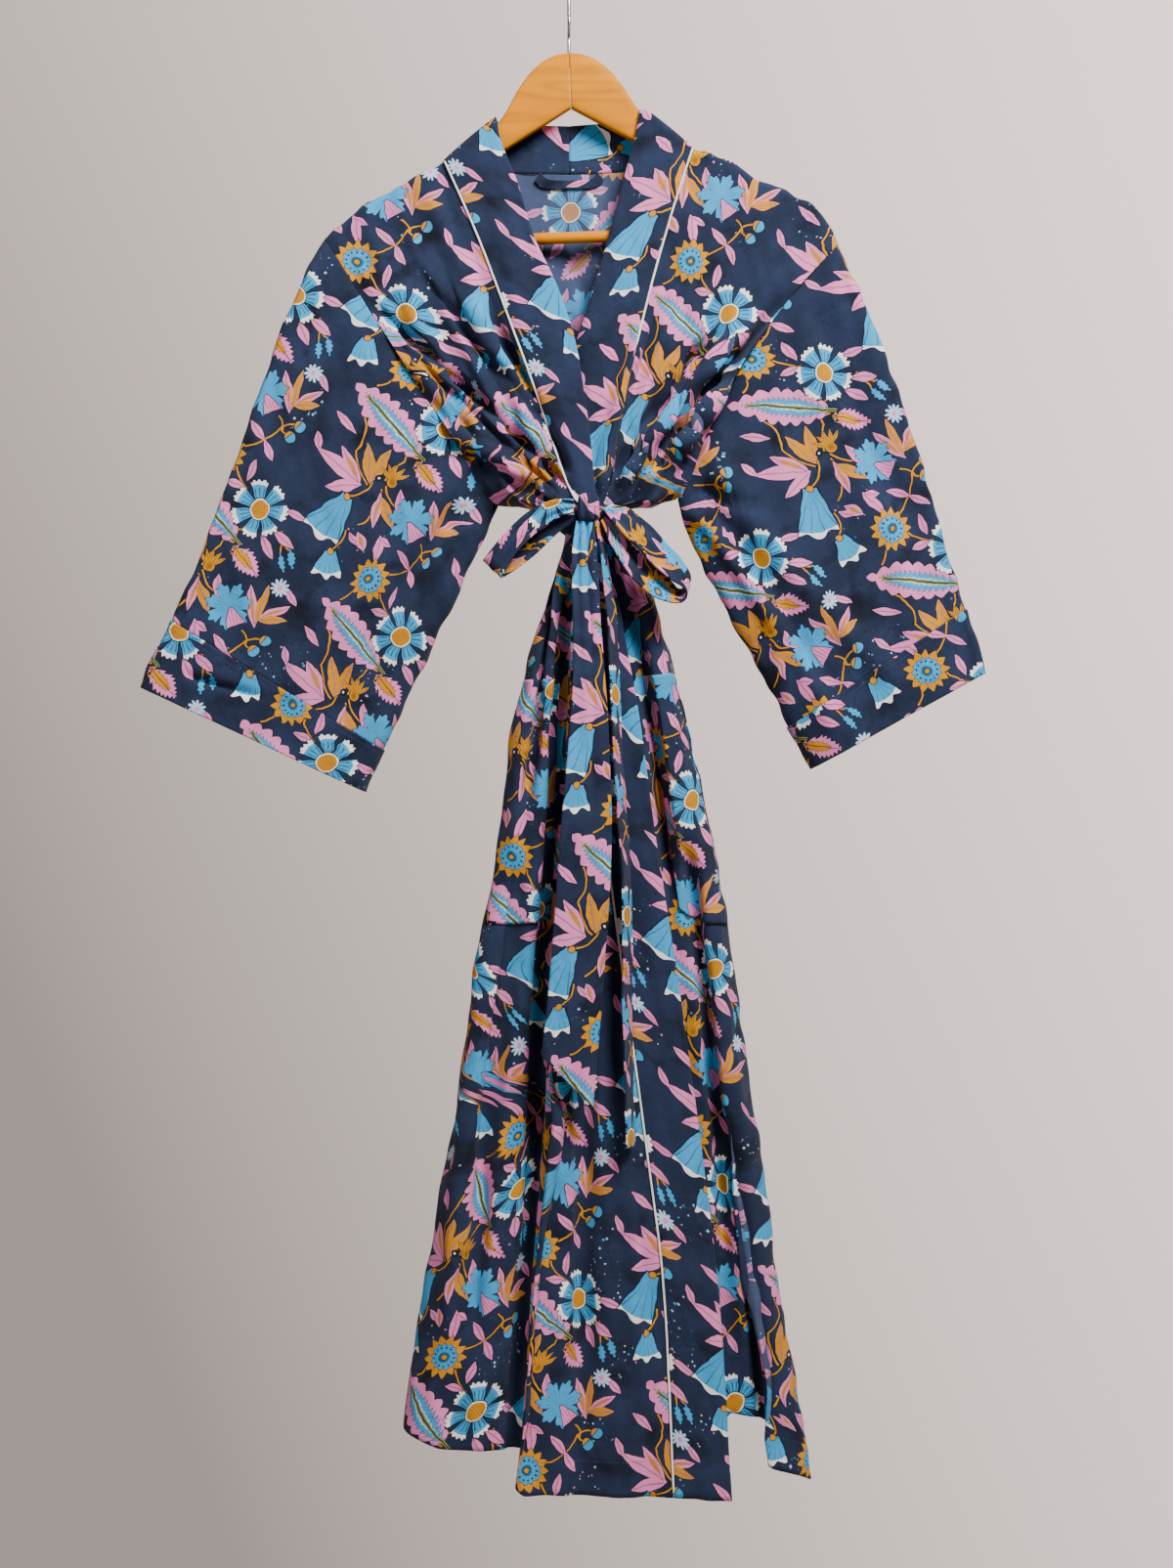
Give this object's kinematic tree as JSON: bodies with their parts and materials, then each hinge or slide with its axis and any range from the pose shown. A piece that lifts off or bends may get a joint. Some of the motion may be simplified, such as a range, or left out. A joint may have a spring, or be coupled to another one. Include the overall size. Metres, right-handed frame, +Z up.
{
  "type": "kimono robe on a wooden hanger",
  "caption": "Long cotton wrap robe with wide sleeves, banded cuffs, piped neckband, patch pockets and a tied belt, hung on a plain wooden hanger with a wire hook.",
  "frame": {"origin": "the inner top of the hanger's hook, where it hangs on a rail", "axes": "+Z up the hanging robe, +X to the viewer's right across its front, front towards -Y"},
  "size_m": [0.7997, 0.1177, 1.4292],
  "materials": {
    "printed_cotton": "matt plain-weave cotton, printed",
    "white_piping": "matt corded cotton",
    "honey_wood": "clear satin varnish",
    "hook_wire": "bright zinc wire"
  },
  "bodies": {
    "root": {"front_left": "printed_cotton", "front_right": "printed_cotton", "back_panel": "printed_cotton", "sleeve_left": "printed_cotton", "sleeve_right": "printed_cotton", "cuff_band_left": "printed_cotton", "cuff_band_right": "printed_cotton", "neckband_left": "printed_cotton", "neckband_right": "printed_cotton", "pocket_left": "printed_cotton", "pocket_right": "printed_cotton", "hanging_loop": "printed_cotton", "belt_waist": "printed_cotton", "belt_knot": "printed_cotton", "bow_loop_left": "printed_cotton", "bow_loop_right": "printed_cotton", "belt_tail_front": "printed_cotton", "belt_tail_side": "printed_cotton", "piping_left": "white_piping", "piping_right": "white_piping", "hanger_arm_left": "honey_wood", "hanger_arm_right": "honey_wood", "hanger_bar": "honey_wood", "hanger_hook": "hook_wire"}
  },
  "joints": []
}
